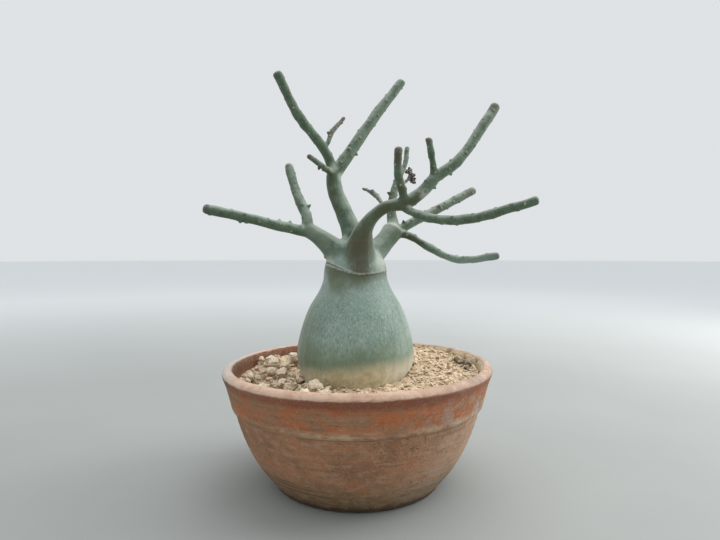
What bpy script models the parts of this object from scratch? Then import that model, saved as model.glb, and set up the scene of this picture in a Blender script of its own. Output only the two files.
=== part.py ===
"""Potted desert rose: a leafless adenium on a bulbous caudex in a terracotta bowl.

Metres, +Z up. The origin is the middle of the bowl's flat underside, which stands on z = 0.
-Y is the front. Solids that touch each other keep a clearance of GAP.
"""

import math
import random

import bmesh
import bpy
from mathutils import Vector, noise
from mathutils.bvhtree import BVHTree

MM = 0.001
GAP = 0.3 * MM

# Bowl
RIM_RADIUS = 110 * MM
BOWL_HEIGHT = 96.6 * MM
FOOT_RADIUS = 68.2 * MM
WALL = 9 * MM
BAND_FOOT_Z = 65.4 * MM          # lower edge of the broad band under the rim
BAND_FOOT_RADIUS = 101.7 * MM
BAND_STEP = 2.5 * MM             # how far the band stands proud of the body
BODY_BELLY = 0.65                # how much the body's side bows outwards
INNER_RADIUS = 98 * MM           # inside of the band
INNER_FLOOR_RADIUS = 56 * MM
RIM_LEAN = 0.015                 # the rim dips towards -X, as hand-thrown bowls do
DRAIN_RADIUS = 6 * MM
DRAIN_CIRCLE = 30 * MM
DRAIN_COUNT = 3

# Soil
SOIL_LEVEL = 86.5 * MM           # at the bowl's axis
SOIL_SLOPE = Vector((0.045, 0.06))
MOUND_PLACE = Vector((52, 2)) * MM
MOUND_HEIGHT = 7 * MM
MOUND_WIDTH = 15 * MM
SOIL_ROUGHNESS = 1.2 * MM
SOIL_ROUGH_SIZE = 14 * MM
SOIL_WALL_TOP = 73 * MM          # below this the soil's side is plain
LID_MARK = 1.0                   # outline height that marks the points of the soil's surface

# Caudex
CAUDEX_X = -1.9 * MM
CAUDEX_OUTLINE = (               # height and radius, from the buried tip to the crown
    (34, 0), (36, 16), (46, 30), (62, 38), (80, 42.5), (92, 46), (104, 47.6), (116, 46),
    (130, 42.2), (144, 36.2), (156, 28.8), (166, 25.5), (176, 24.4), (184, 19.5), (190, 10),
    (192, 0),
)

CAUDEX_WAIST_Z = 110 * MM        # the lobes deepen from a little above here downwards
OVAL = 0.012                     # how far the caudex is from round, as a share of its radius
LOBE_COUNT = 5                   # the swellings that the roots leave from
LOBE_DEPTH = 0.035

# Stems: the route of the middle line, and the thickness at its base, middle and tip, in mm.
# Each one starts inside the piece that it grew from, and is trimmed to it.
STEMS = {
    "front_limb": (((1, -12, 180), (2.5, -18, 194), (6, -22, 206), (15, -25, 217), (24, -27, 222),
                    (37, -27, 224)), (23, 11, 10.2)),
    "centre_limb": (((0, 4, 185), (-5, 8, 205), (-14, 12, 226), (-20, 16, 242), (-20, 17, 255)),
                    (19, 14, 12.4)),
    "left_limb": (((-6, -2, 176), (-18, -6, 188), (-29, -10, 197.5), (-42, -14, 206)),
                  (20, 15.5, 11.5)),
    "rear_limb": (((6, 7, 176), (15.5, 14, 187), (25, 22, 197.5), (32, 28, 208)),
                  (19, 17, 19)),
    "left_long_shoot": (((-41, -14, 203), (-61, -25, 207), (-86, -36, 213), (-114, -45, 219)),
                        (8.8, 8, 6.8)),
    "left_upright_shoot": (((-40, -14, 204), (-41, -10, 216), (-50, 2, 235), (-59, 18, 261)),
                           (9.6, 8.2, 6.8)),
    "centre_right_shoot": (((-20, 17, 252), (-11, 20, 265), (0, 28, 283), (20, 42, 314),
                            (41, 54, 343)), (11, 9.8, 8)),
    "centre_left_shoot": (((-20, 16, 252), (-24, 13, 265), (-31, 7, 277), (-48, -8, 297),
                           (-62, -26, 325)), (8.4, 8, 7.4)),
    "fork_twig": (((-22, 13, 253), (-28, 4, 257), (-39, -14, 263)), (5, 4.8, 3.8)),
    "centre_twig": (((-25, 10, 277), (-22, 14, 287), (-17, 20, 295), (-11, 25, 303)),
                    (4, 3.6, 3)),
    "front_upper_shoot": (((36, -27, 223), (49, -27, 232), (61, -25, 245), (79, -20, 258),
                           (95, -12, 279), (113, -2, 306)), (10.5, 8.6, 8)),
    "front_side_shoot": (((59, -25, 246), (58, -30, 255), (53, -42, 271)), (5.4, 5, 4.8)),
    "front_upright_shoot": (((37, -27, 223), (34, -35, 234), (30, -44, 246), (30, -54, 262)),
                            (6.8, 6.4, 5.6)),
    "front_long_shoot": (((35, -27, 222), (43, -36, 216), (60, -54, 210), (82, -74, 210),
                          (117, -98, 220)), (6.4, 7, 6.2)),
    "front_twig": (((21, -25, 219), (18, -14, 228), (12, -4, 235), (4, 8, 240)), (3.4, 3.2, 2.4)),
    "rear_upright_shoot": (((31, 28, 206), (30, 34, 228), (35, 42, 250), (43, 52, 266),
                            (46, 60, 284)), (11, 6, 4.6)),
    "rear_right_shoot": (((33, 29, 204), (48, 36, 213), (69, 48, 224), (111, 74, 246)),
                         (8, 8, 7.6)),
    "rear_low_shoot": (((33, 28, 203), (45, 26, 201), (61, 20, 191), (76, 12, 183), (91, 2, 180),
                        (113, -14, 184)), (6.2, 6.4, 6)),
    "dried_stalk": (((34, 41, 244), (42, 46, 249), (47, 50, 255), (49, 52, 263)), (2.6, 2.8, 2.4)),
}
RING_SIDES = 10

# Loose clods of soil: how many, the sizes, and the sector of the surface that they lie in
CLOD_COUNT = 16
CLOD_SIZES = (8 * MM, 14 * MM)
CLOD_SECTOR = (math.radians(80), math.radians(245))
CLOD_BAND = (58 * MM, 88 * MM)
DAMP_CLOD_PLACE = Vector((86, 14)) * MM
DAMP_CLOD_SIZE = 9 * MM

COLOURS = {
    "terracotta": ((0.42, 0.20, 0.11), 0.85),
    "soil": ((0.36, 0.26, 0.17), 0.95),
    "bark": ((0.25, 0.34, 0.28), 0.75),
    "dry_stem": ((0.20, 0.15, 0.10), 0.90),
}


def clear_scene():
    for thing in list(bpy.data.objects):
        bpy.data.objects.remove(thing, do_unlink=True)


def material(name):
    """The Principled material of that name, made once."""
    if name in bpy.data.materials:
        return bpy.data.materials[name]
    colour, roughness = COLOURS[name]
    made = bpy.data.materials.new(name)
    made.use_nodes = True
    shader = made.node_tree.nodes["Principled BSDF"]
    shader.inputs["Base Color"].default_value = (*colour, 1)
    shader.inputs["Roughness"].default_value = roughness
    shader.inputs["Metallic"].default_value = 0
    return made


def finish_mesh(bm, name, material_name):
    """Turn a bmesh into a smooth-shaded object with outward faces."""
    bmesh.ops.recalc_face_normals(bm, faces=bm.faces)
    mesh = bpy.data.meshes.new(name)
    bm.to_mesh(mesh)
    bm.free()
    mesh.shade_smooth()
    mesh.set_sharp_from_angle(angle=math.radians(40))
    mesh.materials.append(material(material_name))
    piece = bpy.data.objects.new(name, mesh)
    bpy.context.collection.objects.link(piece)
    return piece


def smooth_route(points, steps):
    """Points on a smooth curve through the given ones, steps to each stretch."""
    ends = [points[0] * 2 - points[1], *points, points[-1] * 2 - points[-2]]
    route = []
    for before, start, end, after in zip(ends, ends[1:], ends[2:], ends[3:]):
        for step in range(steps):
            t = step / steps
            route.append(0.5 * (2 * start + (end - before) * t
                                + (2 * before - 5 * start + 4 * end - after) * t ** 2
                                + (3 * start - before - 3 * end + after) * t ** 3))
    return [*route, points[-1]]


def lathe(name, outline, sides, material_name, reshape=None):
    """Turn an outline of (radius, height) points about Z; reshape moves single points."""
    bm = bmesh.new()
    line = [bm.verts.new((radius, 0, height)) for radius, height in outline]
    edges = [bm.edges.new(pair) for pair in zip(line, line[1:])]
    bmesh.ops.spin(bm, geom=line + edges, cent=(0, 0, 0), axis=(0, 0, 1),
                   angle=math.tau, steps=sides, use_merge=True)
    bmesh.ops.remove_doubles(bm, verts=bm.verts, dist=1e-6)
    for vert in bm.verts:
        vert.co = reshape(vert.co) if reshape else vert.co
    return finish_mesh(bm, name, material_name)


def cut_away(piece, cutters):
    """Take the cutters out of a piece, keep its largest body, and drop the cutters."""
    for cutter in cutters:
        cutter.hide_render = True
        cutter.display_type = "WIRE"
        cut = piece.modifiers.new("clearance", "BOOLEAN")
        cut.operation = "DIFFERENCE"
        cut.solver = "EXACT"
        cut.object = cutter
    seen = piece.evaluated_get(bpy.context.evaluated_depsgraph_get())
    mesh = bpy.data.meshes.new_from_object(seen)
    piece.modifiers.clear()
    piece.data = mesh
    for cutter in cutters:
        bpy.data.objects.remove(cutter, do_unlink=True)
    keep_largest_body(mesh)


def keep_largest_body(mesh):
    bm = bmesh.new()
    bm.from_mesh(mesh)
    unseen = set(bm.verts)
    bodies = []
    while unseen:
        edge_of_body = [unseen.pop()]
        body = set(edge_of_body)
        while edge_of_body:
            vert = edge_of_body.pop()
            for edge in vert.link_edges:
                other = edge.other_vert(vert)
                if other not in body:
                    body.add(other)
                    edge_of_body.append(other)
        unseen -= body
        bodies.append(body)
    bodies.sort(key=len)
    scraps = [vert for body in bodies[:-1] for vert in body]
    bmesh.ops.delete(bm, geom=scraps, context="VERTS")
    bm.to_mesh(mesh)
    bm.free()


# ---------------------------------------------------------------- bowl and soil

def lean(point):
    """Dip everything in the bowl a little towards -X, more the higher it is."""
    return Vector((point.x, point.y, point.z * (1 + RIM_LEAN * point.x / BOWL_HEIGHT)))


def belly(share):
    """How far the side has widened at a share of the way up: a bowed line from 0 to 1."""
    return share * (1 + BODY_BELLY * (1 - share))


def body_outline(steps=5):
    """Outside of the bowl's body, from under the band down to the foot."""
    top_radius = BAND_FOOT_RADIUS - BAND_STEP
    top = BAND_FOOT_Z - BAND_STEP
    bottom = 3 * MM
    low_radius = FOOT_RADIUS + 1 * MM
    points = []
    for step in range(steps + 1):
        share = 1 - step / steps
        radius = low_radius + (top_radius - low_radius) * belly(share)
        points.append((radius, bottom + (top - bottom) * share))
    return points


def inner_outline(inset=0.0, steps=4):
    """Inside of the bowl from its floor's edge up to the straight band."""
    top = BAND_FOOT_Z
    points = []
    for step in range(steps + 1):
        share = step / steps
        radius = INNER_FLOOR_RADIUS + (INNER_RADIUS - INNER_FLOOR_RADIUS) * belly(share)
        points.append((radius - inset, WALL + inset + (top - WALL) * share))
    return points


def rim_outline(steps=6):
    """The rounded lip, from the inside of the band over the top to its outside."""
    inner = INNER_RADIUS + 1 * MM
    outer = RIM_RADIUS
    side = 91.5 * MM
    middle = (inner + outer) / 2
    half = (outer - inner) / 2
    points = []
    for step in range(steps + 1):
        angle = math.pi * (1 - step / steps)
        bulge = math.sin(angle) ** 0.6
        points.append((middle + half * math.cos(angle), side + (BOWL_HEIGHT - side) * bulge))
    return points


def make_bowl():
    outline = [(0, WALL), *inner_outline(), *rim_outline(),
               (BAND_FOOT_RADIUS + 1 * MM, BAND_FOOT_Z + 3 * MM), (BAND_FOOT_RADIUS, BAND_FOOT_Z),
               *body_outline(), (FOOT_RADIUS, 0), (0, 0)]
    bowl = lathe("bowl", outline, 64, "terracotta", lean)
    drains = []
    for number in range(DRAIN_COUNT):
        angle = math.tau * number / DRAIN_COUNT + math.pi / 2
        bpy.ops.mesh.primitive_cylinder_add(
            vertices=16, radius=DRAIN_RADIUS, depth=4 * WALL,
            location=(DRAIN_CIRCLE * math.cos(angle), DRAIN_CIRCLE * math.sin(angle), 0))
        drains.append(bpy.context.object)
    cut_away(bowl, drains)
    return bowl


def soil_height(x, y):
    """Height of the soil's surface, which rises to the back and the right."""
    place = Vector((x, y))
    mound = MOUND_HEIGHT * math.exp(-(place - MOUND_PLACE).length_squared / (2 * MOUND_WIDTH ** 2))
    rough = SOIL_ROUGHNESS * noise.noise(Vector((x, y, 0)) / SOIL_ROUGH_SIZE)
    return SOIL_LEVEL + SOIL_SLOPE.dot(place) + mound + rough


def make_soil(caudex_cutter):
    edge = INNER_RADIUS - GAP
    lid = [(edge * share, LID_MARK) for share in (1, 0.9, 0.8, 0.7, 0.6, 0.5, 0.4, 0)]
    outline = [(0, WALL + GAP), *inner_outline(GAP), (edge, SOIL_WALL_TOP), *lid]

    def shape(point):
        if point.z == LID_MARK:
            return Vector((point.x, point.y, soil_height(point.x, point.y)))
        return lean(point)

    soil = lathe("soil", outline, 48, "soil", shape)
    cut_away(soil, [caudex_cutter])
    return soil


def make_clod(name, size, seed):
    """An irregular rounded lump, made about the origin."""
    bm = bmesh.new()
    bmesh.ops.create_icosphere(bm, subdivisions=2, radius=size / 2)
    for vert in bm.verts:
        bump = noise.noise(vert.co / size * 1.6 + Vector((seed, 0, 0)))
        vert.co *= 1 + 0.45 * bump
        vert.co.z *= 0.8
    return finish_mesh(bm, name, "soil")


def clod_places(chooser):
    """Places and sizes in the sector of big clods, clear of each other."""
    places = []
    while len(places) < CLOD_COUNT:
        angle = chooser.uniform(*CLOD_SECTOR)
        size = chooser.uniform(*CLOD_SIZES)
        reach = chooser.uniform(*CLOD_BAND)
        place = Vector((reach * math.cos(angle), reach * math.sin(angle)))
        clear = all((place - other).length > 0.6 * (size + wide) for other, wide in places)
        if clear:
            places.append((place, size))
    return places


def drop_onto(piece, ground):
    """Lower a piece until it is a clearance above the ground, a surface seen from above."""
    drop = None
    for vert in piece.data.vertices:
        hit = ground.ray_cast(vert.co, Vector((0, 0, -1)))[0]
        if hit and (drop is None or vert.co.z - hit.z < drop):
            drop = vert.co.z - hit.z
    for vert in piece.data.vertices:
        vert.co.z -= drop - GAP


def make_clods(soil):
    ground = BVHTree.FromObject(soil, bpy.context.evaluated_depsgraph_get())
    chooser = random.Random(11)
    places = clod_places(chooser)
    for number, (place, size) in enumerate([*places, (DAMP_CLOD_PLACE, DAMP_CLOD_SIZE)]):
        last = number == len(places)
        name = "damp_clod" if last else f"clod_{number + 1:02d}"
        clod = make_clod(name, size, number * 7.3)
        for vert in clod.data.vertices:
            vert.co += Vector((place.x, place.y, 2 * BOWL_HEIGHT))
        drop_onto(clod, ground)


# ---------------------------------------------------------------- plant

def make_caudex(name="caudex", grow=0.0):
    """The swollen trunk: a turned body with soft lobes, widest just above the soil."""
    outline = [Vector((radius, height)) * MM for height, radius in CAUDEX_OUTLINE]
    curve = [(max(point.x, 0), point.y) for point in smooth_route(outline, 2)]

    def shape(point):
        angle = math.atan2(point.y, point.x)
        depth = min(max(1 - (point.z - CAUDEX_WAIST_Z / 2) / CAUDEX_WAIST_Z, 0), 1)
        lobes = 1 + OVAL * math.cos(2 * angle) + LOBE_DEPTH * depth * math.cos(LOBE_COUNT * angle)
        out = Vector((point.x * lobes + CAUDEX_X, point.y * lobes, point.z))
        from_waist = point - Vector((0, 0, CAUDEX_WAIST_Z))
        return out + grow * (Vector((point.x, point.y, 0)).normalized() + from_waist.normalized())

    return lathe(name, curve, 30, "bark", shape)


def thickness(widths, share):
    """Thickness at a share of the way along a stem, through its base, middle and tip."""
    base, middle, tip = widths
    curve = base * (1 - share) * (1 - 2 * share) + 4 * middle * share * (1 - share)
    return curve + tip * share * (2 * share - 1)


def make_stem(name, grow=0.0):
    """A tapering round stem along its route, with a softly rounded cut end."""
    points, widths = STEMS[name]
    route = smooth_route([Vector(point) * MM for point in points], 3)
    last = len(route) - 1
    bm = bmesh.new()
    rings = []
    side = Vector((0, -1, 0))
    for number, middle in enumerate(route):
        along = (route[min(number + 1, last)] - route[max(number - 1, 0)]).normalized()
        side = (side - along * side.dot(along)).normalized()
        up = along.cross(side)
        radius = thickness(widths, number / last) * MM / 2 + grow
        if number == last:
            rings.append((middle - along * radius * 0.35, side, up, radius))
            rings.append((middle + along * grow, side, up, radius * 0.7))
        else:
            back = grow if number == 0 else 0
            rings.append((middle - along * back, side, up, radius))
    circles = []
    for middle, side, up, radius in rings:
        turns = [math.tau * step / RING_SIDES for step in range(RING_SIDES)]
        circles.append([bm.verts.new(middle + radius * (side * math.cos(turn) + up * math.sin(turn)))
                        for turn in turns])
    for low, high in zip(circles, circles[1:]):
        for step in range(RING_SIDES):
            after = (step + 1) % RING_SIDES
            bm.faces.new((low[step], low[after], high[after], high[step]))
    bm.faces.new(circles[0])
    bm.faces.new(circles[-1])
    return finish_mesh(bm, name, "dry_stem" if name == "dried_stalk" else "bark")


def boxes_touch(one, other):
    def span(piece, axis):
        values = [vert.co[axis] for vert in piece.data.vertices]
        return min(values) - GAP, max(values) + GAP
    for axis in range(3):
        low, high = span(one, axis)
        other_low, other_high = span(other, axis)
        if high < other_low or other_high < low:
            return False
    return True


def make_stems(caudex):
    """Every stem, each trimmed clear of the caudex and of the stems made before it."""
    made = [caudex]
    for name in STEMS:
        stem = make_stem(name)
        near = [piece for piece in made if boxes_touch(stem, piece)]
        cutters = []
        for piece in near:
            if piece is caudex:
                cutters.append(make_caudex("cutter", grow=GAP))
            else:
                cutters.append(make_stem(piece.name, grow=GAP))
        cut_away(stem, cutters)
        made.append(stem)


def main():
    clear_scene()
    make_bowl()
    caudex = make_caudex()
    soil = make_soil(make_caudex("cutter", grow=GAP))
    make_clods(soil)
    make_stems(caudex)


main()
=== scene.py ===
# %% [markdown]
# # A potted desert rose
# A leafless adenium on its swollen trunk, in a weathered terracotta bowl of dry, cloddy soil.
# The measured solids are loaded first. They fix every size, and each visible surface below is
# worked out from them. Everything is in metres: +Z is up, and -Y is the front.

# %% Load the measured solids
import math
import random

import bmesh
import bpy
import numpy as np
from mathutils import Euler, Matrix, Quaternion, Vector
from mathutils.bvhtree import BVHTree
from numpy.linalg import norm


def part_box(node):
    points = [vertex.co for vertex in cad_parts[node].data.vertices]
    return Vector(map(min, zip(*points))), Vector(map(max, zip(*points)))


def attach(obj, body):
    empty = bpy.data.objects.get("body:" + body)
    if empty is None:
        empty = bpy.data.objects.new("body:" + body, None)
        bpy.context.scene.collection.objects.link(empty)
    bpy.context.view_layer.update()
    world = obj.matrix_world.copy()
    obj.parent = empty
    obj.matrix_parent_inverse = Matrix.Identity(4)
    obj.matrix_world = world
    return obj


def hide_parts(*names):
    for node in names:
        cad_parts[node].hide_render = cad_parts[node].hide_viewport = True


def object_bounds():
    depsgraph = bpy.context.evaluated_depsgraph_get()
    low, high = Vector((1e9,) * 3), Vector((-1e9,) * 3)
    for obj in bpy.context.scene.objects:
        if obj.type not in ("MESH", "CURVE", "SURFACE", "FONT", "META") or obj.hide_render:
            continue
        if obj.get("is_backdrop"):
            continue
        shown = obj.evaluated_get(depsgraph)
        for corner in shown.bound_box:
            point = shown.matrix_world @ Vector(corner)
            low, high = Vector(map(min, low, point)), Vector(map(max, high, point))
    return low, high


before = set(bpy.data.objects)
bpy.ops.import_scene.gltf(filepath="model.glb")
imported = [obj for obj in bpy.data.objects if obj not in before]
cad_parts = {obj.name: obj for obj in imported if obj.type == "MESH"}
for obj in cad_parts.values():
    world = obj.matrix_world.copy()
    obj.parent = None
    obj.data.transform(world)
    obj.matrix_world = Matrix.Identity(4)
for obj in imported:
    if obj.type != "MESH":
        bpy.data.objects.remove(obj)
solids_low, solids_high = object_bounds()
MM = 0.001
print("nodes:", len(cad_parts), "size:", [round(v, 3) for v in solids_high - solids_low])

# %% [markdown]
# ## Camera, floor and light
# The plant is seen from table height, from about two bowl widths away, with a slightly wide
# lens. The camera looks down by less than two degrees, so the bowl's mouth is a thin ellipse.
# The floor is one round sheet, pale grey under the bowl and almost white further out. The
# light is a wide overhead panel like an overcast sky, a second panel on the right, and an
# even surround.

# %% Camera
CAMERA_DISTANCE = 0.450
CAMERA_HEIGHT = 0.1857
CAMERA_SIDE = 0.0021
CAMERA_DIP = math.radians(1.76)
LENS = 27.3

camera = bpy.data.objects.new("camera", bpy.data.cameras.new("camera"))
bpy.context.collection.objects.link(camera)
camera.data.lens = LENS
camera.data.sensor_width = 36
camera.location = (CAMERA_SIDE, -CAMERA_DISTANCE, CAMERA_HEIGHT)
camera.rotation_euler = (math.pi / 2 - CAMERA_DIP, 0, 0)
bpy.context.scene.camera = camera
bpy.context.scene.view_settings.view_transform = "Standard"
print("camera at:", [round(v, 3) for v in camera.location], "lens:", LENS)

# %% Lights and surround
def panel(name, place, aim, size, watts, colour):
    """A square light panel at a place, turned to face a point."""
    lamp = bpy.data.objects.new(name, bpy.data.lights.new(name, "AREA"))
    bpy.context.collection.objects.link(lamp)
    lamp.data.size = size
    lamp.data.energy = watts
    lamp.data.color = colour
    lamp.location = place
    lamp.rotation_euler = (Vector(aim) - Vector(place)).to_track_quat("-Z", "Y").to_euler()
    return lamp


DAYLIGHT = (1.0, 0.985, 0.96)
panel("overhead_panel", (0.25, 0.35, 1.5), (0, 0, 0.15), 1.5, 11, DAYLIGHT)
panel("right_panel", (1.25, 0.25, 0.7), (0, 0, 0.17), 0.9, 11, DAYLIGHT)

world = bpy.data.worlds.new("surround")
bpy.context.scene.world = world
world.use_nodes = True
world.node_tree.nodes["Background"].inputs["Color"].default_value = (0.95, 0.98, 1.0, 1)
world.node_tree.nodes["Background"].inputs["Strength"].default_value = 0.78

# %% [markdown]
# ## Materials from Python expressions
# A material is a small graph of nodes. Writing `1 - mask` is easier to read than wiring a Math
# node by hand, so one class wraps an output socket and turns Python's operators into nodes.
# A second class holds a material, and has one method that adds any other kind of node.

# %% Socket arithmetic
class Wire:
    """An output socket; the operators on it add Math nodes."""

    def __init__(self, maker, socket):
        self.maker = maker
        self.socket = socket

    def math(self, operation, *values):
        inputs = dict(enumerate(values))
        return self.maker.node("ShaderNodeMath", {"operation": operation}, inputs)

    def __add__(self, other):
        return self.math("ADD", self, other)

    def __mul__(self, other):
        return self.math("MULTIPLY", self, other)

    def __sub__(self, other):
        return self.math("SUBTRACT", self, other)

    def __rsub__(self, other):
        return self.math("SUBTRACT", other, self)

    def __pow__(self, other):
        return self.math("POWER", self, other)

    __radd__ = __add__
    __rmul__ = __mul__


# %% Material maker
class Finish:
    """A material on the Principled shader; its sizes and places are in millimetres."""

    def __init__(self, name):
        self.material = bpy.data.materials.new(name)
        self.material.use_nodes = True
        self.tree = self.material.node_tree
        self.shader = self.tree.nodes["Principled BSDF"]
        self.place = self.node("ShaderNodeTexCoord", output="Object")

    def node(self, kind, settings=None, inputs=None, output=0):
        """Add a node: its settings first, then the values or wires of its sockets."""
        made = self.tree.nodes.new(kind)
        for key, value in (settings or {}).items():
            setattr(made, key, value)
        for key, value in (inputs or {}).items():
            self.feed(made.inputs[key], value)
        return Wire(self, made.outputs[output])

    def feed(self, socket, value):
        if isinstance(value, Wire):
            self.tree.links.new(value.socket, socket)
        elif isinstance(value, tuple) and len(value) == 3 and socket.type == "RGBA":
            socket.default_value = (*value, 1)
        else:
            socket.default_value = value

    def stretched(self, scale, offset=(0, 0, 0)):
        """The object's coordinates, scaled by axis and moved."""
        return self.node("ShaderNodeMapping", None,
                         {"Vector": self.place, "Scale": scale, "Location": offset})

    def noise(self, size, detail=4, roughness=0.6, stretch=(1, 1, 1), seed=0.0, warp=0.0):
        """Cloudy noise from 0 to 1 whose blotches are about size across."""
        scale = tuple(s / (size * MM) for s in stretch)
        inputs = {"Vector": self.stretched(scale, (seed, seed * 0.7, seed * 1.3)), "Scale": 1.0,
                  "Detail": detail, "Roughness": roughness, "Distortion": warp}
        return self.node("ShaderNodeTexNoise", None, inputs)

    def cells(self, size, feature="F1", seed=0.0):
        scale = (1 / (size * MM),) * 3
        inputs = {"Vector": self.stretched(scale, (seed, seed, seed)), "Scale": 1.0}
        return self.node("ShaderNodeTexVoronoi", {"feature": feature}, inputs)

    def step(self, value, low, high):
        """A soft step: 0 below low, 1 above high, or the other way round."""
        return self.node("ShaderNodeMapRange", {"interpolation_type": "SMOOTHSTEP"},
                         {"Value": value, "From Min": low, "From Max": high})

    def axis(self, letter):
        return self.node("ShaderNodeSeparateXYZ", None, {0: self.place}, letter) * 1000

    def vector(self, operation, first, second=(0, 0, 0), output="Value"):
        kind = {"operation": operation}
        return self.node("ShaderNodeVectorMath", kind, {0: first, 1: second}, output)

    def from_axis(self):
        """Distance from the upright axis through the origin."""
        return self.vector("LENGTH", self.vector("MULTIPLY", self.place, (1, 1, 0), 0)) * 1000

    def spot(self, middle, reach, ragged=None):
        """A soft ball around a point: 1 in the middle, 0 beyond its reach."""
        middle = tuple(v * MM for v in middle)
        reach *= MM
        away = self.vector("DISTANCE", self.place, middle)
        if ragged:
            away = away + (ragged - 0.5) * reach
        return self.step(away, reach, reach * 0.35)

    def mark(self, name):
        """A number that the mesh carries at its points."""
        return self.node("ShaderNodeAttribute", {"attribute_name": name}, output="Fac")

    def mix(self, low, high, mask):
        """One colour where the mask is 0, the other where it is 1."""
        return self.node("ShaderNodeMix", {"data_type": "RGBA"}, {0: mask, 6: low, 7: high}, 2)

    def upness(self):
        """The height part of the surface's normal: 1 faces up, -1 faces down."""
        normal = self.node("ShaderNodeNewGeometry", output="Normal")
        return self.node("ShaderNodeSeparateXYZ", None, {0: normal}, "Z")

    def done(self, colour, roughness, height=None, depth=1.0):
        """Wire up the shader; height is the relief, and depth is how deep 1 is."""
        self.feed(self.shader.inputs["Base Color"], colour)
        self.feed(self.shader.inputs["Roughness"], roughness)
        if height:
            bump = self.node("ShaderNodeBump", None, {"Height": height, "Distance": depth * MM})
            self.feed(self.shader.inputs["Normal"], bump)
        return self.material


# %% Floor
FLOOR_RADIUS = 14.0
floor_finish = Finish("pale_floor")
floor_finish.shader.inputs["Specular IOR Level"].default_value = 0.2
floor_cloud = floor_finish.noise(250, 4, 0.55)
floor_grey = floor_finish.mix((0.33, 0.35, 0.345), (0.40, 0.42, 0.41), floor_cloud)
far_out = floor_finish.step(floor_finish.from_axis(), 250, 2200)
floor_paint = floor_finish.done(floor_finish.mix(floor_grey, (0.84, 0.87, 0.88), far_out), 0.85)

bpy.ops.object.select_all(action="DESELECT")
bpy.ops.mesh.primitive_circle_add(vertices=128, radius=FLOOR_RADIUS, fill_type="NGON")
floor = bpy.context.object
floor.name = "floor"
floor.data.materials.append(floor_paint)
floor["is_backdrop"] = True
print("floor across, m:", 2 * FLOOR_RADIUS)

# %% [markdown]
# ## Shared helpers for pieces
# The same things are done to almost every piece: it is made the only selected object, opened
# in edit mode, given modifiers that are applied at once, and handed to the frame with the node
# that it stands for. Formulas work on all its points together, as rows of numbers.

# %% Helpers
def deselect():
    bpy.ops.object.select_all(action="DESELECT")


def named(name):
    """Name the object that was just added."""
    bpy.context.object.name = name
    return bpy.context.object


def pick(piece):
    """Make a piece the active object and the only selected one."""
    deselect()
    piece.select_set(True)
    bpy.context.view_layer.objects.active = piece


def modify(piece, kind, **settings):
    """Add a modifier, set it and apply it."""
    pick(piece)
    modifier = piece.modifiers.new(kind.lower(), kind)
    for key, value in settings.items():
        setattr(modifier, key, value)
    bpy.ops.object.modifier_apply(modifier=modifier.name)


def edit(piece):
    """Open a piece in edit mode, with all of it selected."""
    pick(piece)
    bpy.ops.object.mode_set(mode="EDIT")
    bpy.ops.mesh.select_all(action="SELECT")


def close_edit(face_out=True):
    """Turn every face outwards, if asked, and leave edit mode."""
    if face_out:
        bpy.ops.mesh.select_all(action="SELECT")
        bpy.ops.mesh.normals_make_consistent(inside=False)
    bpy.ops.object.mode_set(mode="OBJECT")


def join(pieces, name):
    """Make one object of several, under a new name."""
    deselect()
    for piece in pieces:
        piece.select_set(True)
    bpy.context.view_layer.objects.active = pieces[0]
    bpy.ops.object.join()
    return named(name)


def points_of(piece):
    """A piece's points, as rows of x, y and z."""
    flat = np.empty(len(piece.data.vertices) * 3, np.float32)
    piece.data.vertices.foreach_get("co", flat)
    return flat.reshape(-1, 3).astype(float)


def move_points(piece, points):
    piece.data.vertices.foreach_set("co", points.astype(np.float32).ravel())
    piece.data.update()


def normals_of(piece):
    flat = np.empty(len(piece.data.vertices) * 3, np.float32)
    piece.data.vertices.foreach_get("normal", flat)
    return flat.reshape(-1, 3).astype(float)


def clouds(name, size, depth=3):
    """A cloudy texture for the Displace modifier."""
    texture = bpy.data.textures.new(name, "CLOUDS")
    texture.noise_scale = size
    texture.noise_depth = depth
    return texture


def roughen(piece, size, strength, depth=3):
    """Push a piece's surface in and out by clouds of a size."""
    modify(piece, "DISPLACE", texture=clouds(piece.name + "_clouds", size, depth),
           strength=strength, mid_level=0.5, texture_coords="LOCAL")


SMOOTH_BELOW = math.radians(45)


def finish_piece(piece, material, slot, *nodes):
    """Give a piece its material, and let it stand for its solids."""
    piece.data.materials.clear()
    piece.data.materials.append(material)
    pick(piece)
    bpy.ops.object.shade_smooth_by_angle(angle=SMOOTH_BELOW)
    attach(piece, "root")
    if nodes:
        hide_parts(*nodes)
    piece.data.calc_loop_triangles()
    print(piece.name, "triangles:", len(piece.data.loop_triangles))


# %% [markdown]
# ## The terracotta bowl
# The bowl was turned on a wheel: a foot, a rounded belly, a broad band that stands proud of
# the body, and a thick, soft lip. A turned shape is a ring that is extruded up the outside,
# over the lip and down the inside. Two close rings keep an edge crisp when the surface is
# subdivided, and a single ring lets it stay round.

# %% Bowl outline
RIM_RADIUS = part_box("bowl")[1].x
FOOT_RADIUS = 0.62 * RIM_RADIUS
BOWL_HEIGHT = 96.6 * MM
RIM_LEAN = 0.015
BOWL_SIDES = 48

BOWL_OUTLINE = [                       # radius and height, in mm
    (64, 0), (66.4, 0.4), (68.2, 2), (70.4, 5.4), (75, 11), (81, 18.5), (87.4, 29.5),
    (92.6, 41), (96.6, 52), (98.9, 60), (99.5, 62.6), (99.9, 63.6), (101.6, 64.6),
    (102.3, 66), (103.1, 69.5), (105.6, 79), (107.6, 86), (109.2, 89.6), (109.9, 91.4),
    (109.4, 93.8), (107.6, 95.7), (104.6, 96.6), (101.8, 96.1), (99.8, 94.2), (98.6, 90),
    (98, 80), (97.6, 68), (91, 46), (80, 26), (66, 13), (56, 9.2), (40, 9),
]
print("rim radius, mm:", round(RIM_RADIUS / MM, 1), "rings:", len(BOWL_OUTLINE))

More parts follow.
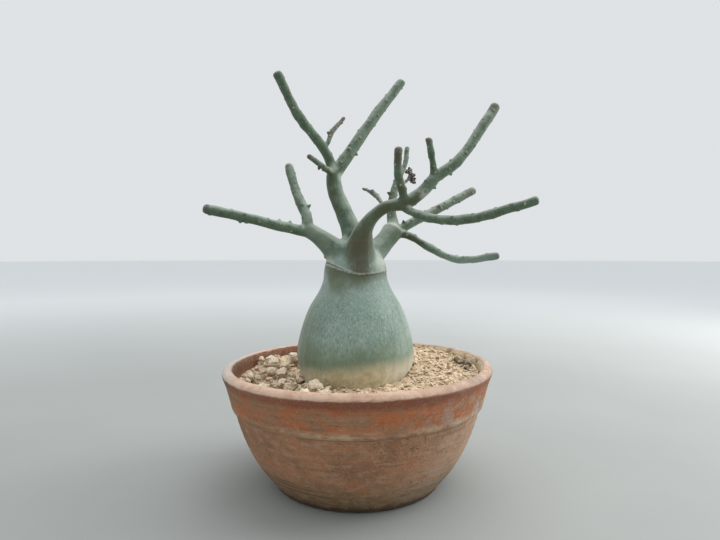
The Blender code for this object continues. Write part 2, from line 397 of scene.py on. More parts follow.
# %% Turn the bowl
deselect()
start_radius = BOWL_OUTLINE[0][0] * MM
bpy.ops.mesh.primitive_circle_add(vertices=BOWL_SIDES, radius=start_radius, fill_type="NGON")
bowl = named("bowl_look")
edit(bowl)
for (radius, height), (next_radius, next_height) in zip(BOWL_OUTLINE, BOWL_OUTLINE[1:]):
    rise = (0, 0, (next_height - height) * MM)
    bpy.ops.mesh.extrude_region_move(TRANSFORM_OT_translate={"value": rise})
    widen = next_radius / radius
    bpy.ops.transform.resize(value=(widen, widen, 1), center_override=(0, 0, 0))
close_edit()
modify(bowl, "SUBSURF", levels=3, render_levels=3)
print("bowl points:", len(bowl.data.vertices))

# %% [markdown]
# Hand work leaves the bowl a little uneven: the rim leans, the belly has turning ridges, and
# years outdoors have rounded off the lip and knocked small chips out of it. These are moves of
# the points by a formula, which keep the surface closed.

# %% Wear the bowl
def ripple(points, size, seed):
    """Smooth waves in all directions, about -1 to 1, with crests a few sizes apart."""
    chooser = np.random.default_rng(seed)
    total = np.zeros(len(points))
    for _ in range(7):
        direction = chooser.normal(size=3)
        direction /= norm(direction)
        total += np.sin(points @ direction * (chooser.uniform(0.7, 1.5) / size)
                        + chooser.uniform(0, math.tau))
    return total / 3.5


def bowl_wear(points):
    """How far each point moves outwards: turning ridges, dents and chips."""
    radius = np.hypot(points[:, 0], points[:, 1])
    outside = np.clip((radius - 0.9 * FOOT_RADIUS) / (5 * MM), 0, 1)
    ridges = np.sin(points[:, 2] / (0.95 * MM) + 1.5 * ripple(points, 40 * MM, 5))
    push = 0.08 * MM * ridges * outside * (points[:, 2] < 88 * MM)
    push += 0.18 * MM * ripple(points, 16 * MM, 3) * outside
    push += 0.45 * MM * ripple(points, 45 * MM, 4) * outside
    return push


bowl_points = points_of(bowl)
bowl_normals = normals_of(bowl)
foot_hold = np.clip(bowl_points[:, 2] / (4 * MM), 0, 1)
bowl_points += bowl_normals * (bowl_wear(bowl_points) * foot_hold)[:, None]

CHIPS = 16
CHIPPED_EDGES = ((109.6, 93.5), (109.9, 92), (99.6, 95.6), (102.4, 65))   # radius, height in mm
chip_chooser = random.Random(4)
for _ in range(CHIPS):
    turn = chip_chooser.uniform(0, math.tau)
    radius, height = chip_chooser.choice(CHIPPED_EDGES)
    centre = np.array([radius * math.cos(turn), radius * math.sin(turn), height]) * MM
    reach = chip_chooser.uniform(1.8, 4.2) * MM
    near = norm(bowl_points - centre, axis=1) / reach
    depth = 0.20 * reach * np.clip(1 - near ** 2, 0, 1) ** 1.5
    bowl_points -= bowl_normals * depth[:, None]
bowl_points[:, 2] *= 1 + RIM_LEAN * bowl_points[:, 0] / BOWL_HEIGHT
bowl_points[:, 2] = np.maximum(bowl_points[:, 2], 0)
move_points(bowl, bowl_points)
roughen(bowl, 3.2 * MM, 0.20 * MM, 4)
bowl_points = points_of(bowl)
bowl_points[:, 2] = np.maximum(bowl_points[:, 2], 0)
move_points(bowl, bowl_points)
print("bowl height, mm:", (bowl_points[:, 2].max() / MM).round(1))

# %% [markdown]
# Three drain holes go through the base, on a circle round its middle. Each is cut by a
# cylinder with a Boolean modifier. Where a cut passes very close to a point it leaves a sliver,
# so points that nearly touch are merged afterwards.

# %% Cut the drain holes
DRAIN_HOLES = 3
DRAIN_RADIUS = 6 * MM
DRAIN_CIRCLE = 30 * MM
SLIVER = 0.04 * MM
for number in range(DRAIN_HOLES):
    angle = math.tau * number / DRAIN_HOLES + math.pi / 2
    place = (DRAIN_CIRCLE * math.cos(angle), DRAIN_CIRCLE * math.sin(angle), 0)
    deselect()
    bpy.ops.mesh.primitive_cylinder_add(vertices=40, radius=DRAIN_RADIUS, depth=0.05,
                                        location=place)
    cutter = bpy.context.object
    modify(bowl, "BOOLEAN", operation="DIFFERENCE", solver="EXACT", object=cutter)
    bpy.data.objects.remove(cutter, do_unlink=True)
edit(bowl)
bpy.ops.mesh.remove_doubles(threshold=SLIVER)
bpy.ops.mesh.dissolve_degenerate(threshold=SLIVER)
bpy.ops.mesh.quads_convert_to_tris()
close_edit(face_out=False)
print("drain holes:", DRAIN_HOLES)

# %% [markdown]
# ### Weathered terracotta
# Unglazed clay soaks up water and salts. It is red-orange where the band was wiped, dull tan
# below, pale pink on the worn lip, chalky where lime came through above the band's lower edge
# and on the right, and olive-brown near the damp foot. The lip's up-facing top is also painted
# light, and painted shade darkens the lip's left end below its top and the foot's lowest edge.

# %% Terracotta
def make_terracotta():
    clay = Finish("weathered_terracotta")
    mix, step, noise = clay.mix, clay.step, clay.noise
    x = clay.axis("X")
    z = clay.axis("Z")
    radius = clay.from_axis()
    level = z - (x * (RIM_LEAN * 0.75))
    broad = noise(34, seed=2)
    patch = noise(17, 5, 0.62, stretch=(1, 1, 1.7), seed=5, warp=0.8)
    small = noise(7, 5, 0.65, stretch=(1, 1, 1.5), seed=33, warp=0.5)
    fine = noise(2.2, 5, 0.7, seed=9)
    rings = noise(9, stretch=(0.12, 0.12, 5.0), seed=3)
    right = step(x, 25, 98)
    left = step(x, -25, -92)

    body = mix((0.285, 0.146, 0.077), (0.43, 0.215, 0.114), step(broad, 0.36, 0.62))
    body = mix(body, (0.42, 0.165, 0.07), step(patch, 0.5, 0.66) * 0.55)
    body = mix(body, (0.46, 0.295, 0.195), step(small, 0.5, 0.64) * 0.55)
    body = mix(body, (0.185, 0.1, 0.05), step(small, 0.44, 0.28) * 0.5)
    drips = noise(13, stretch=(1, 1, 0.25), seed=61)
    body = mix(body, (0.185, 0.105, 0.055), step(drips, 0.55, 0.72) * 0.4)
    body = mix(body, (0.53, 0.39, 0.28), right * (step(patch, 0.34, 0.6) * 0.5 + 0.28))
    moss = step(noise(2.4, 5, 0.8, seed=44), 0.54, 0.62)
    moss = moss * clay.spot((38, -92, 60), 34, patch)
    body = mix(body, (0.09, 0.07, 0.03), moss * 0.85)

    low = step(z + (patch - 0.5) * 26, 34, 12)
    low_clay = mix((0.19, 0.13, 0.062), (0.3, 0.205, 0.105), step(small, 0.4, 0.6))
    body = mix(body, low_clay, low * 0.75)
    smear = clay.spot((50, -64, 20), 34, small)
    body = mix(body, (0.4, 0.36, 0.3), smear * step(rings, 0.44, 0.6) * 0.7)
    # Painted shadow: the clay turns almost black at the foot's lowest edge, where it meets the
    # floor.
    foot_shadow = step(z + (small - 0.5) * 5, 9, 3.0)
    body = mix(body, (0.045, 0.027, 0.012), foot_shadow * 0.85)

    on_band = step(level, 63.6, 65.2)
    band = mix((0.33, 0.165, 0.082), (0.46, 0.14, 0.05), step(patch, 0.34, 0.6))
    band = mix(band, (0.47, 0.24, 0.13), step(small, 0.52, 0.68) * 0.5)
    ochre = step(noise(20, stretch=(1, 1, 2.4), seed=27), 0.38, 0.72)
    band = mix(band, (0.27, 0.19, 0.1), ochre * (left * 0.6 + 0.34))
    chalk = step(noise(13, 6, 0.78, seed=14, warp=0.15), 0.46, 0.62)
    band = mix(band, (0.46, 0.38, 0.34), chalk * (right * 0.7 + 0.12))
    strip_edge = level + (small - 0.5) * 5 + (patch - 0.5) * 8
    strip = step(strip_edge, 83, 88) * step(fine, 0.3, 0.5)
    band = mix(band, (0.2, 0.062, 0.036), strip * (0.8 - left * 0.35 - right * 0.35))
    lime_edge = level + (fine - 0.5) * 3 + (small - 0.5) * 8
    lime = step(lime_edge, 72.5, 66.5) * step(patch, 0.36, 0.64)
    band = mix(band, (0.52, 0.45, 0.29), lime * (0.68 - left * 0.42))
    colour = mix(body, band, on_band)

    lines = step(rings, 0.52, 0.66) * step(small, 0.35, 0.6) * (low * 0.45 + 0.38)
    colour = mix(colour, (0.115, 0.066, 0.034), lines)
    colour = mix(colour, (0.55, 0.41, 0.28), step(fine, 0.55, 0.72) * 0.38)
    colour = mix(colour, (0.1, 0.055, 0.03), step(fine, 0.44, 0.28) * 0.58)
    pits = step(clay.cells(1.7, seed=4) + (fine - 0.5) * 0.5, 0.24, 0.06)
    specks = pits * step(noise(12, seed=31), 0.46, 0.6)
    colour = mix(colour, (0.075, 0.045, 0.025), specks * 0.75)

    inner = step(radius + (small - 0.5) * 2, 102.4, 100.6)
    inner = inner * step(level, 64, 66)
    inner = inner * step(radius + (level - 95) * -0.4, 103, 101)
    wall = mix((0.15, 0.062, 0.034), (0.3, 0.145, 0.08), step(small, 0.38, 0.62))
    wall = mix(wall, (0.72, 0.57, 0.38), step(x, 10, 60) * 0.92)
    wall = mix(wall, (0.055, 0.042, 0.025), step(small, 0.5, 0.62) * 0.7)
    colour = mix(colour, wall, inner)

    # The lip's own colour is a worn pale pink. It is laid only on faces that turn up, so its top
    # is also painted light.
    facing_up = step(clay.upness() + (small - 0.5) * 0.6, -0.2, 0.3)
    outer_lip = step(radius + (small - 0.5) * 2, 100.6, 102.4)
    on_lip = facing_up * step(level + (small - 0.5) * 2.4, 91.0, 92.6)
    on_lip = on_lip * outer_lip
    lip = mix((0.56, 0.345, 0.235), (0.68, 0.485, 0.365), step(patch, 0.36, 0.6))
    lip = mix(lip, (0.38, 0.29, 0.25), right * step(small, 0.34, 0.62) * 0.9)
    lip = mix(lip, (0.4, 0.2, 0.13), step(small, 0.56, 0.7) * 0.45)
    grey_end = step(x + (small - 0.5) * 16, -80, -102)
    lip = mix(lip, (0.58, 0.55, 0.5), grey_end * 0.7)
    colour = mix(colour, lip, on_lip)
    # Painted shade: the lip's left end is darkened on its faces below the up-facing top.
    shaded_lip_end = grey_end * step(level, 86, 91) * (1 - on_lip) * outer_lip
    colour = mix(colour, (0.11, 0.1, 0.08), shaded_lip_end * 0.85)

    relief = fine * 0.6 + rings * 0.7 + (1 - specks) * 0.6 + small * 0.5
    return clay.done(colour, step(fine, 0, 1) * 0.15 + 0.78, relief, 0.9)


finish_piece(bowl, make_terracotta(), "terracotta", "bowl")

# %% [markdown]
# ## The soil
# Dry sandy soil fills the bowl to just below its lip, higher at the back and heaped against
# the trunk on the right. Its surface is a fine grid that is laid on the measured soil solid
# and roughened. Lumps and grit are then strewn over it.

# %% Soil bed
def tree_of(piece):
    """A search tree of a piece's surface, for rays and nearest points."""
    return BVHTree.FromObject(piece, bpy.context.evaluated_depsgraph_get())


SOIL_RADIUS = 98.6 * MM
SOLID_SOIL_RADIUS = 96.5 * MM
SOIL_EDGE_HEIGHT = 80 * MM
SOIL_UNDERSIDE = 70 * MM
BED_STEPS = 230
soil_tree = tree_of(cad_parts["soil"])


def ground_height(x, y, fallback):
    """Height of the measured soil below a point."""
    hit = soil_tree.ray_cast(Vector((x, y, 0.2)), Vector((0, 0, -1)))[0]
    return hit.z if hit else fallback


deselect()
bpy.ops.mesh.primitive_grid_add(x_subdivisions=BED_STEPS, y_subdivisions=BED_STEPS,
                                size=2 * SOIL_RADIUS)
bed = named("soil_look")
grid = bmesh.new()
grid.from_mesh(bed.data)
outside = [v for v in grid.verts if math.hypot(v.co.x, v.co.y) > SOIL_RADIUS]
bmesh.ops.delete(grid, geom=outside, context="VERTS")
for vert in grid.verts:
    reach = math.hypot(vert.co.x, vert.co.y)
    inner = vert.co.to_2d() * min(1, SOLID_SOIL_RADIUS / max(reach, MM))
    vert.co.z = ground_height(inner.x, inner.y, SOIL_EDGE_HEIGHT)
grid.to_mesh(bed.data)
grid.free()
print("bed points:", len(bed.data.vertices))

# %% Roughen the bed and close it below
bed_points = points_of(bed)
crumbs = 0.9 * MM * np.abs(ripple(bed_points, 3.6 * MM, 11))
crumbs += 0.7 * MM * np.abs(ripple(bed_points, 1.7 * MM, 12))
leftness = np.clip((-10 * MM - bed_points[:, 0]) / (40 * MM), 0, 1)
off_edge = np.clip((93 * MM - np.hypot(bed_points[:, 0], bed_points[:, 1])) / (8 * MM), 0, 1)
bed_points[:, 2] += crumbs - 0.6 * MM - 2.5 * MM * leftness * off_edge
move_points(bed, bed_points)
roughen(bed, 5 * MM, 2.2 * MM, 5)
edit(bed)
bpy.ops.mesh.region_to_loop()
bpy.ops.mesh.extrude_edges_move(TRANSFORM_OT_translate={"value": (0, 0, -12 * MM)})
bpy.ops.transform.resize(value=(1, 1, 0), center_override=(0, 0, SOIL_UNDERSIDE))
bpy.ops.mesh.edge_face_add()
close_edit()
bed_tree = tree_of(bed)
print("bed top, mm:", (points_of(bed)[:, 2].max() / MM).round(1))

# %% [markdown]
# ### Lumps and grit
# A lump of dry soil is broken, not round: flat faces meet at worn edges. One is modelled by
# cutting a ball with a few planes and filling each cut. Big ones are then remeshed and
# roughened. A few such shapes are copied at many turns and sizes. Big lumps are piled on the
# left, and fine ones cover the rest.

# %% Model the seed lumps
FACETS = 7


def cut_facets(piece, chooser, nearest_cut, farthest_cut, from_above=False):
    """Slice a piece by planes, at shares of its reach from its middle; stay in edit mode."""
    points = points_of(piece)
    middle = points.mean(0)
    edit(piece)
    for _ in range(FACETS):
        facing = Vector([chooser.gauss(0, 1) for _ in range(3)]).normalized()
        if from_above:
            facing.z = abs(facing.z)
        reach = float(((points - middle) @ facing).max())
        place = Vector(middle) + facing * reach * chooser.uniform(nearest_cut, farthest_cut)
        bpy.ops.mesh.select_all(action="SELECT")
        bpy.ops.mesh.bisect(plane_co=place, plane_no=facing, use_fill=True, clear_outer=True)


def seed_lump(name, fineness, flatness, number, grain=None):
    """A broken lump of unit width about the origin: a ball that is cut by planes."""
    deselect()
    bpy.ops.mesh.primitive_ico_sphere_add(subdivisions=fineness, radius=0.5)
    lump = named(name)
    cut_facets(lump, random.Random(number), 0.40, 0.76)
    bpy.ops.mesh.select_all(action="SELECT")
    bpy.ops.mesh.dissolve_limited(angle_limit=math.radians(12))
    bpy.ops.mesh.quads_convert_to_tris()
    close_edit()
    if grain:
        modify(lump, "REMESH", mode="VOXEL", voxel_size=grain)
        roughen(lump, 0.50, 0.12, 1)
        roughen(lump, 0.15, 0.20, 4)
    points = points_of(lump)
    points[:, 2] *= flatness
    move_points(lump, points)
    return lump


def scatter(name, seeds, places):
    """One mesh of many lumps: places holds a point, a width and a turn for each."""
    shapes = []
    for seed in seeds:
        faces = [tuple(face.vertices) for face in seed.data.polygons]
        shapes.append((points_of(seed), faces))
    all_points, all_faces, count = [], [], 0
    for number, (place, width, turn) in enumerate(places):
        points, faces = shapes[number % len(shapes)]
        around = np.array(turn.to_matrix())
        all_points.append(points @ around.T * width + np.array(place))
        all_faces += [tuple(index + count for index in face) for face in faces]
        count += len(points)
    mesh = bpy.data.meshes.new(name)
    mesh.from_pydata(np.vstack(all_points).tolist(), [], all_faces)
    piece = bpy.data.objects.new(name, mesh)
    bpy.context.collection.objects.link(piece)
    return piece


# %% Choose where the lumps lie
TRUNK_REACH = 37 * MM
TRIES_EACH = 30
soil_chooser = random.Random(21)


def strew(ground, count, narrowest, widest, sector, sink, crowd):
    """Random places on the ground: a range of widths in mm, and of angles in degrees."""
    chooser = soil_chooser
    widths = (narrowest * MM, widest * MM)
    places = []
    tries = 0
    while len(places) < count and tries < count * TRIES_EACH:
        tries += 1
        angle = math.radians(chooser.uniform(*sector))
        width = widths[0] + (widths[1] - widths[0]) * chooser.random() ** 1.6
        low = TRUNK_REACH + width / 2
        high = SOIL_RADIUS - width * 0.55
        reach = math.sqrt(chooser.uniform(low ** 2, high ** 2))
        x, y = reach * math.cos(angle), reach * math.sin(angle)
        hit = ground.ray_cast(Vector((x, y, 0.2)), Vector((0, 0, -1)))[0]
        if hit is None:
            continue
        place = Vector((x, y, hit.z + width * (0.5 - sink)))
        if any((place - other).length < crowd * (width + wide) for other, wide, _ in places):
            continue
        turn = Euler([chooser.uniform(-0.6, 0.6), chooser.uniform(-0.6, 0.6),
                      chooser.uniform(0, math.tau)])
        places.append((place, width, turn))
    return places


# %% Strew them
big_seeds = [seed_lump(f"big_seed_{n}", 3, 0.85, n, 0.055) for n in range(6)]
small_seeds = [seed_lump(f"small_seed_{n}", 2, 0.66, n + 9) for n in range(4)]
grit_seeds = [seed_lump(f"grit_seed_{n}", 1, 0.5, n + 17) for n in range(4)]
shard_seeds = [seed_lump(f"shard_seed_{n}", 2, 0.5, n + 31) for n in range(5)]
LEFT = (98, 262)
BACK_LEFT = (110, 200)
RIGHT = (-40, 98)
ALL_ROUND = (0, 360)
low_places = strew(bed_tree, 84, 4.5, 11.5, LEFT, 0.18, 0.35)
low_places += strew(bed_tree, 12, 3.5, 6.5, RIGHT, 0.35, 0.6)
low_lumps = scatter("low_lumps", big_seeds, low_places)
pile_tree = tree_of(low_lumps)
high_lumps = scatter("high_lumps", big_seeds, strew(pile_tree, 18, 5, 9, BACK_LEFT, 0.25, 0.5))
small_places = strew(bed_tree, 520, 2.4, 5, ALL_ROUND, 0.25, 0.34)
small_places += strew(pile_tree, 90, 2.6, 5.5, LEFT, 0.2, 0.4)
small_lumps = scatter("small_lumps", small_seeds, small_places)
shards = scatter("shards", shard_seeds, strew(bed_tree, 210, 3.0, 6.2, RIGHT, 0.42, 0.34))
grit = scatter("grit", grit_seeds, strew(bed_tree, 3200, 0.9, 2.8, ALL_ROUND, 0.2, 0.0))

# %% Damp lumps by the right rim
DAMP_PLACES = [(87, 10, 7), (91, 2, 10), (89.5, -7, 6.5), (94, 9, 6)]    # x, y and width, in mm
damp_places = []
for number, (x, y, width) in enumerate(DAMP_PLACES):
    ground = bed_tree.find_nearest(Vector((x, y, 90)) * MM)[0].z
    place = Vector((x * MM, y * MM, ground + 0.3 * width * MM))
    damp_places.append((place, width * MM, Euler([0, 0, number * 2.0])))
damp_lumps = scatter("damp_lumps", big_seeds, damp_places)
for seed in big_seeds + small_seeds + shard_seeds + grit_seeds:
    print(seed.name, "faces:", len(seed.data.polygons))
    bpy.data.objects.remove(seed, do_unlink=True)

# %% [markdown]
# The measured clods are the largest loose lumps. Each is copied and merged, its round sides
# are cut to facets, and it is remeshed and roughened, so that it keeps its place and size.

# %% Refine the measured clods
def copy_of(node, name):
    """A merged copy of a measured solid, as a new piece."""
    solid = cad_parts[node]
    piece = bpy.data.objects.new(name, solid.data.copy())
    bpy.context.collection.objects.link(piece)
    edit(piece)
    bpy.ops.mesh.remove_doubles(threshold=0.00001)
    close_edit(face_out=False)
    return piece


clod_names = sorted(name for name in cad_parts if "clod" in name)
clods = []
for name in clod_names:
    clod = copy_of(name, name + "_look")
    cut_facets(clod, random.Random(name), 0.66, 0.88, from_above=True)
    close_edit(face_out=False)
    modify(clod, "REMESH", mode="VOXEL", voxel_size=0.55 * MM)
    roughen(clod, 4.5 * MM, 2.0 * MM, 1)
    roughen(clod, 1.6 * MM, 2.3 * MM, 4)
    clods.append(clod)
print("clods:", len(clods))

# %% [markdown]
# ### Dry soil
# Pale tan on faces that turn up. Painted shade darkens the faces that turn down or aside, and the
# hollows between the grains. A few crumbs are rusty. The big lumps are the driest and palest, and
# those at the right rim are damp and dark.

# %% Soil finish
def soil_finish(name, shade_tone, mid, pale):
    earth = Finish(name)
    mix, step, noise = earth.mix, earth.step, earth.noise
    lumps = noise(7, seed=1)
    grains = noise(1.0, 4, 0.7, seed=6)
    crumbs = earth.cells(1.6, seed=2)
    # Painted shade: faces that turn down or aside take the dark tone, and faces that turn up keep
    # the pale ones.
    lit_from_above = step(earth.upness() + (grains - 0.5) * 0.8, -0.55, 0.45)
    colour = mix(mid, pale, step(lumps, 0.35, 0.60))
    colour = mix(shade_tone, colour, lit_from_above)
    # Painted shade in the hollows of the grain relief.
    colour = mix(colour, shade_tone, step(grains, 0.42, 0.28) * 0.6)
    tint = step(noise(5, 2, 0.55, seed=12), 0.56, 0.68)
    colour = mix(colour, (mid[0] * 0.95, mid[1] * 0.78, mid[2] * 0.6), tint * 0.5)
    return earth.done(colour, 0.95, grains * 0.8 + crumbs * 0.6, 0.9)


dry_soil = soil_finish("dry_soil", (0.42, 0.31, 0.205), (0.70, 0.54, 0.37), (0.90, 0.73, 0.53))
pale_soil = soil_finish("pale_soil", (0.45, 0.35, 0.235), (0.84, 0.69, 0.51), (0.94, 0.83, 0.67))
damp_soil = soil_finish("damp_soil", (0.075, 0.052, 0.03), (0.22, 0.16, 0.10), (0.50, 0.41, 0.29))
finish_piece(bed, dry_soil, "soil", "soil")
for piece in (small_lumps, shards, grit):
    finish_piece(piece, dry_soil, "soil")
for piece in (low_lumps, high_lumps):
    finish_piece(piece, pale_soil, "soil")
finish_piece(damp_lumps, damp_soil, "soil")
for clod, name in zip(clods, clod_names):
    finish_piece(clod, damp_soil if name == "damp_clod" else pale_soil, "soil", name)

# %% [markdown]
# ## The plant
# Trunk, limbs and shoots grew as one, with one smooth skin. The measured solids are copied,
# swollen slightly so that they run into each other, and fused by a voxel remesh. Smoothing
# then rounds the forks, as growth does.

# %% Fuse the skin
PLANT_NODES = [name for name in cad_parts
               if name == "caudex" or name.endswith(("limb", "shoot", "twig"))]
THIN = {"front_twig": 0.5, "centre_twig": 0.45, "fork_twig": 0.35, "front_side_shoot": 0.32}
VOXEL = 0.8 * MM
CROWN = np.array([0, -3, 178]) * MM
FLARE = {"front_limb": 3.0 * MM, "left_limb": 2.4 * MM, "rear_limb": 2.4 * MM,
         "centre_limb": 2.0 * MM}
FLARE_REACH = 34 * MM

copies = []
for name in PLANT_NODES:
    copy = copy_of(name, name + "_copy")
    modify(copy, "DISPLACE", strength=THIN.get(name, 0.27) * MM, mid_level=0)
    if name in FLARE:
        modify(copy, "SUBSURF", subdivision_type="SIMPLE", levels=2, render_levels=2)
        limb_points = points_of(copy)
        away = norm(limb_points - CROWN, axis=1)
        swell = FLARE[name] * np.clip(1 - (away - 6 * MM) / FLARE_REACH, 0, 1) ** 1.2
        move_points(copy, limb_points + normals_of(copy) * swell[:, None])
    copies.append(copy)
skin = join(copies, "plant_skin")
modify(skin, "REMESH", mode="VOXEL", voxel_size=VOXEL)
modify(skin, "SMOOTH", factor=0.5, iterations=10)
print("skin points:", len(skin.data.vertices))

# %% [markdown]
# The limbs leave the trunk's crown in soft shoulders. Swelling the crown, remeshing it and
# shrinking it again fills the sharp valleys between the limbs and leaves the rest as it was.
# A stronger smoothing follows. Both are held to the crown by a vertex group, whose weight
# fades out above and below it.

# %% Soften the crown
CROWN_REACH = 30 * MM
VALLEY_FILL = 4 * MM


def mark_crown():
    """Give the skin a vertex group that covers the crown, and return its name."""
    group = skin.vertex_groups.new(name="crown")
    gap = norm(points_of(skin) - np.array([0, -3, 186]) * MM, axis=1)
    for index in np.nonzero(gap < CROWN_REACH)[0]:
        weight = min(1.0, (CROWN_REACH - gap[index]) / (13 * MM))
        group.add([int(index)], weight, "REPLACE")
    return group.name


modify(skin, "DISPLACE", strength=VALLEY_FILL, mid_level=0, vertex_group=mark_crown())
modify(skin, "REMESH", mode="VOXEL", voxel_size=VOXEL)
skin.vertex_groups.clear()
modify(skin, "DISPLACE", strength=-VALLEY_FILL, mid_level=0, vertex_group=mark_crown())
modify(skin, "SMOOTH", factor=0.5, iterations=26, vertex_group="crown")
modify(skin, "SMOOTH", factor=0.5, iterations=4)
print("skin points after filling:", len(skin.data.vertices))

# %% [markdown]
# ### Where the leaves were
# Each fallen leaf leaves a small pale, raised dot, and the dots climb each shoot in a spiral.
# The middle line of a shoot is found by slicing its solid and averaging each slice. A ray from
# there to the skin, turned by the golden angle at each step, finds the next dot's place.

# %% Middle lines and leaf scars
def middle_line(node, slices=9):
    """Points down the middle of a long solid, from its base outwards."""
    points = np.array([v.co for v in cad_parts[node].data.vertices])
    centre = points.mean(0)
    axis = np.linalg.svd(points - centre, full_matrices=False)[2][0]
    along = (points - centre) @ axis
    edges = np.linspace(along.min(), along.max() + 1e-6, slices + 1)
    line = [points[(along >= low) & (along < high)] for low, high in zip(edges, edges[1:])]
    line = np.array([part.mean(0) for part in line if len(part)])
    trunk_top = np.array([0, 0, 0.19])
    if norm(line[0] - trunk_top) > norm(line[-1] - trunk_top):
        line = line[::-1]
    return line


GOLDEN_ANGLE = math.radians(137.5)
SCAR_SPACING = 3.4 * MM
skin_tree = tree_of(skin)
scars = []
tips = []
for number, name in enumerate(sorted(PLANT_NODES)):
    if name == "caudex" or "limb" in name:
        continue
    line = middle_line(name)
    lengths = np.r_[0, np.cumsum(norm(np.diff(line, axis=0), axis=1))]
    tips.append(line[-1] + (line[-1] - line[-2]) * 0.5)
    chooser = random.Random(number)
    turn = chooser.uniform(0, math.tau)
    at = SCAR_SPACING
    while at < lengths[-1]:
        middle = Vector([np.interp(at, lengths, line[:, k]) for k in range(3)])
        ahead = Vector([np.interp(at + MM, lengths, line[:, k]) for k in range(3)]) - middle
        side = ahead.orthogonal().normalized()
        side.rotate(Quaternion(ahead.normalized(), turn))
        hit = skin_tree.ray_cast(middle, side, 14 * MM)[0]
        if hit:
            scars.append((np.array(hit), chooser.uniform(0.4, 1.0)))
        turn += GOLDEN_ANGLE
        at += SCAR_SPACING * chooser.uniform(0.7, 1.3)
print("leaf scars:", len(scars), "cut ends:", len(tips))


# %% Raise the scars, buds and neck scar
BUDS = [                               # x, y, z in mm, and how far each stands out
    (-60, -24, 214, 1.6), (-52, -21, 213, 1.8), (-37, -8, 225, 3.0), (-2.6, 24, 272, 2.2),
    (-7.5, 18, 274.5, 1.4), (-24.6, 13, 287, 1.8), (-32, 0, 254, 2.6), (58, -26, 238, 2.0),
    (72, -22, 249, 1.8), (28.5, 36, 238.6, 3.2), (40, 30, 215, 2.6), (74, 48, 228, 1.4),
    (-88, -37, 211, 1.4), (-19, -6, 187, 1.2), (12, -4, 235, 1.0), (88, 2, 182, 1.2),
]
NECK_FRONT = 169.6 * MM
NECK_LEFT = 176 * MM
NECK_RIGHT = 171.6 * MM


def neck_lines(points):
    """Height above two scar lines round the neck, which part towards the left."""
    leftness = np.clip((2 * MM - points[:, 0]) / (25 * MM), 0, 1) ** 1.3
    rightness = np.clip((points[:, 0] - 2 * MM) / (20 * MM), 0, 1) ** 1.5
    line = NECK_FRONT + (NECK_LEFT - NECK_FRONT) * leftness
    line += (NECK_RIGHT - NECK_FRONT) * rightness
    line += 0.35 * MM * ripple(points * [1, 1, 0], 6 * MM, 71)
    parting = (0.2 + 3.2 * leftness ** 0.7) * MM
    return points[:, 2] - line, points[:, 2] - line - parting


def nearest(points, places, reach):
    """Each point's distance to the closest place, up to reach."""
    best = np.full(len(points), reach)
    for place in places:
        near = np.abs(points[:, 2] - place[2]) < reach
        near &= np.abs(points[:, 0] - place[0]) < reach
        gap = norm(points[near] - place, axis=1)
        best[near] = np.minimum(best[near], gap)
    return best


skin_points = points_of(skin)
skin_normals = normals_of(skin)
above_soil = np.clip((skin_points[:, 2] - 78 * MM) / (14 * MM), 0, 1)
push = np.zeros(len(skin_points))
for place, share in scars:
    near = np.abs(skin_points - place).max(1) < 3 * MM
    gap = norm(skin_points[near] - place, axis=1) / MM
    push[near] += share * 0.8 * MM * np.exp(-(gap / 1.05) ** 2)
for x, y, z, proud in BUDS:
    spot, _, _, _ = skin_tree.find_nearest(Vector((x, y, z)) * MM)
    gap = norm(skin_points - np.array(spot), axis=1) / MM
    push += proud * MM * np.exp(-(gap / 1.25) ** 2)
neck_gap, fold_gap = neck_lines(skin_points)
on_neck = (skin_points[:, 2] > 165 * MM) & (skin_points[:, 2] < 182 * MM)
on_neck &= np.abs(skin_points[:, 0]) < 27 * MM
ragged = 0.55 + 0.45 * ripple(skin_points * [1, 1, 0], 1.9 * MM, 77)
neck_pull = np.maximum(np.exp(-(neck_gap / (0.8 * MM)) ** 2),
                       0.8 * np.exp(-(fold_gap / (0.7 * MM)) ** 2))
neck_groove = np.exp(-((neck_gap + 1.9 * MM) / (1.0 * MM)) ** 2)
push += np.where(on_neck, 0.42 * MM * ragged * neck_pull - 0.32 * MM * neck_groove, 0)
on_trunk = np.clip((168 * MM - skin_points[:, 2]) / (12 * MM), 0, 1) * above_soil
push += on_trunk * (0.55 * MM * ripple(skin_points * [1, 1, 0.35], 9 * MM, 41)
                    + 0.16 * MM * ripple(skin_points * [1, 1, 0.3], 2.6 * MM, 42))
push += (1 - on_trunk) * 0.24 * MM * ripple(skin_points, 2.2 * MM, 43)
push += (1 - on_trunk) * 0.26 * MM * ripple(skin_points, 5 * MM, 44)
move_points(skin, skin_points + skin_normals * push[:, None])
print("raised by at most, mm:", (push.max() / MM).round(2))

# %% Thin the mesh
MOST_TRIANGLES = 190000
skin.data.calc_loop_triangles()
modify(skin, "DECIMATE", ratio=min(1, MOST_TRIANGLES / len(skin.data.loop_triangles)),
       use_collapse_triangulate=True)

# %% [markdown]
# The finish needs to know where the scars, the neck line and the cut ends are. Each is stored
# on the mesh as a number at every point: a distance in millimetres, which the shader then
# turns into spots and rings of any width.

# %% Store distances on the skin
def store(piece, name, values):
    """Keep one number for each point of the mesh."""
    layer = piece.data.attributes.new(name, "FLOAT", "POINT")
    layer.data.foreach_set("value", values.astype(np.float32))


skin_points = points_of(skin)
scar_places = [place for place, _ in scars]
store(skin, "scar_mm", nearest(skin_points, scar_places, 4 * MM) / MM)
store(skin, "tip_mm", nearest(skin_points, tips, 14 * MM) / MM)
for label, line_gap in zip(("neck_mm", "fold_mm"), neck_lines(skin_points)):
    line_gap[np.abs(skin_points[:, 0]) > 27.5 * MM] = 20 * MM
    store(skin, label, np.clip(line_gap / MM, -20, 20))
print("skin box:", skin_points.min(0).round(3), skin_points.max(0).round(3))

